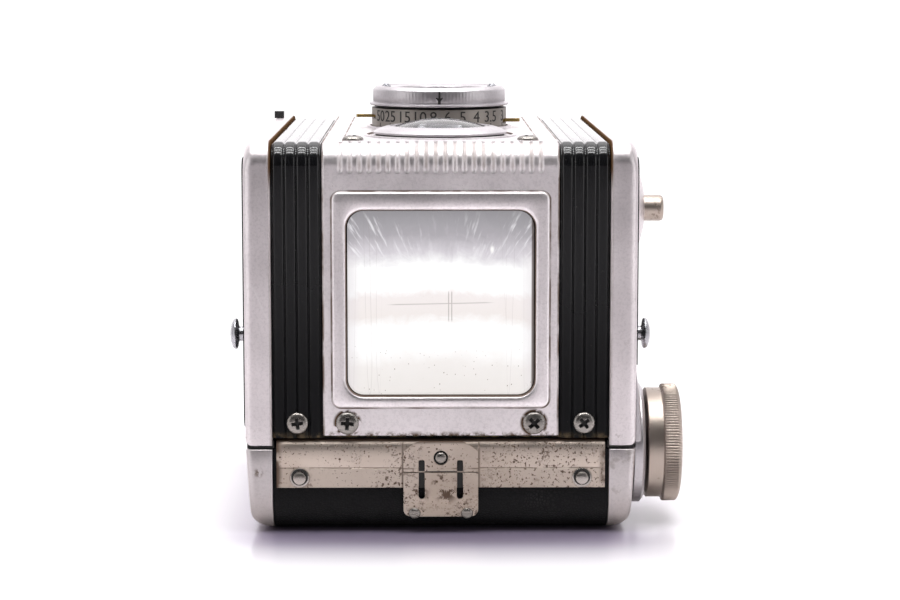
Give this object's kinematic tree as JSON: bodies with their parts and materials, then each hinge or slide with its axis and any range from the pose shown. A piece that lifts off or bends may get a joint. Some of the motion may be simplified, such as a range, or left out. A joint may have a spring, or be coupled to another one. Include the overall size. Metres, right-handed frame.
{
  "type": "box camera",
  "caption": "Twin-lens style box camera lying on its hinged back, with a bright reflex finder, ribbed bands, focusing lens and winding knob.",
  "frame": {"origin": "on the flat rear face of the back cover, midway between the two side caps and midway between finder face and base", "axes": "+Z along the lens axis away from the rest plane, -Y towards the reflex finder (top of the camera in use), +X towards the winding knob"},
  "size_m": [0.0995, 0.1139, 0.0956],
  "materials": {
    "black_enamel": "glossy baked black enamel on pressed steel",
    "satin_aluminium": "satin, hand worn, fine scratches",
    "nickel": "warm aged nickel plate with rust specks",
    "knob_nickel": "nickel plate, brassy where worn",
    "leatherette": "black grained leatherette",
    "inner_black": "matt black camera interior",
    "red_filter": "clear red film-counter window",
    "optical_glass": "clear polished glass",
    "mirror_glass": "silvered finder mirror",
    "brass": "aged brass",
    "scale_black": "dull black barrel with a worn silver edge",
    "spool_steel": "black spool"
  },
  "bodies": {
    "cover": {"back_cover": "black_enamel", "cover_cap_left": "satin_aluminium", "cover_cap_right": "satin_aluminium", "red_window": "red_filter", "latch_strip": "nickel", "strip_pins": "nickel", "latch_base": "nickel", "latch_rivets": "nickel", "cover_hinge_leaf": "satin_aluminium", "hinge_pin": "nickel"},
    "latch": {"latch_leaf": "nickel", "catch_pin": "nickel"},
    "camera": {"body_hinge_leaf": "satin_aluminium", "body_shell": "inner_black", "film_chamber": "inner_black", "film_gate": "inner_black", "light_cone": "inner_black", "side_cap_left": "satin_aluminium", "side_cap_right": "satin_aluminium", "side_panel_left": "leatherette", "side_panel_right": "leatherette", "band_left": "black_enamel", "band_right": "black_enamel", "finder_panel": "satin_aluminium", "finder_lens": "optical_glass", "finder_mirror": "mirror_glass", "mirror_mount": "inner_black", "front_plate": "satin_aluminium", "viewing_ring": "satin_aluminium", "viewing_lens": "optical_glass", "lens_barrel": "scale_black", "rear_lens": "optical_glass", "shutter_plate": "inner_black", "release_boss": "satin_aluminium", "contact_post": "inner_black", "strap_studs": "satin_aluminium", "knob_base": "satin_aluminium", "shaft_bush": "brass", "idler_pin": "nickel", "supply_pivots": "nickel", "band_screws": "nickel", "panel_screws": "nickel", "plate_screws": "nickel", "tripod_socket": "brass"},
    "focus_cell": {"front_lens": "optical_glass"},
    "focus_ring": {"focus_ring": "satin_aluminium", "ring_studs": "nickel"},
    "aperture_lever": {"aperture_lever": "brass"},
    "time_lever": {"time_lever": "brass"},
    "release_button": {"release_button": "knob_nickel"},
    "shutter_blade": {"shutter_blade": "inner_black"},
    "winder": {"winding_knob": "knob_nickel", "winding_shaft": "nickel", "take_up_spool": "spool_steel"},
    "roller_near": {"roller_near": "nickel"},
    "roller_far": {"roller_far": "nickel"}
  },
  "joints": [
    {"name": "back_hinge", "type": "hinge", "parent": "cover", "child": "camera", "pos_m": [0, 0.0563, 0.019], "axis": [-1, 0, 0], "range_deg": [0, 90]},
    {"name": "latch_lift", "type": "hinge", "parent": "cover", "child": "latch", "pos_m": [0, -0.0556, 0.0137], "axis": [1, 0, 0], "range_deg": [0, 15]},
    {"name": "winding", "type": "hinge", "parent": "camera", "child": "winder", "pos_m": [0, -0.038, 0.017], "axis": [1, 0, 0], "continuous": true},
    {"name": "focus_turn", "type": "hinge", "parent": "focus_cell", "child": "focus_ring", "pos_m": [0, 0.007, 0.09], "axis": [0, 0, 1], "range_deg": [-60, 180]},
    {"name": "focus_travel", "type": "slide", "parent": "camera", "child": "focus_cell", "axis": [0, 0, 1], "range_m": [-0.00027, 0.0008]},
    {"name": "aperture_swing", "type": "hinge", "parent": "camera", "child": "aperture_lever", "pos_m": [0, 0.007, 0.0865], "axis": [0, 0, 1], "range_deg": [-12, 12]},
    {"name": "time_swing", "type": "hinge", "parent": "camera", "child": "time_lever", "pos_m": [0, 0.007, 0.0875], "axis": [0, 0, 1], "range_deg": [0, 12]},
    {"name": "release_push", "type": "slide", "parent": "camera", "child": "release_button", "axis": [-1, 0, 0], "range_m": [0, 0.003]},
    {"name": "blade_swing", "type": "hinge", "parent": "camera", "child": "shutter_blade", "pos_m": [0.014, 0.007, 0.0782], "axis": [0, 0, -1], "range_deg": [0, 60]},
    {"name": "roller_near_spin", "type": "hinge", "parent": "camera", "child": "roller_near", "pos_m": [0, -0.026, 0.0122], "axis": [1, 0, 0], "continuous": true},
    {"name": "roller_far_spin", "type": "hinge", "parent": "camera", "child": "roller_far", "pos_m": [0, 0.04, 0.0122], "axis": [1, 0, 0], "continuous": true}
  ],
  "couplings": [
    {"joint": "focus_travel", "follows": "focus_turn", "m_per_rad": 0.00025465},
    {"joint": "blade_swing", "follows": "release_push", "rad_per_m": 349.03}
  ]
}
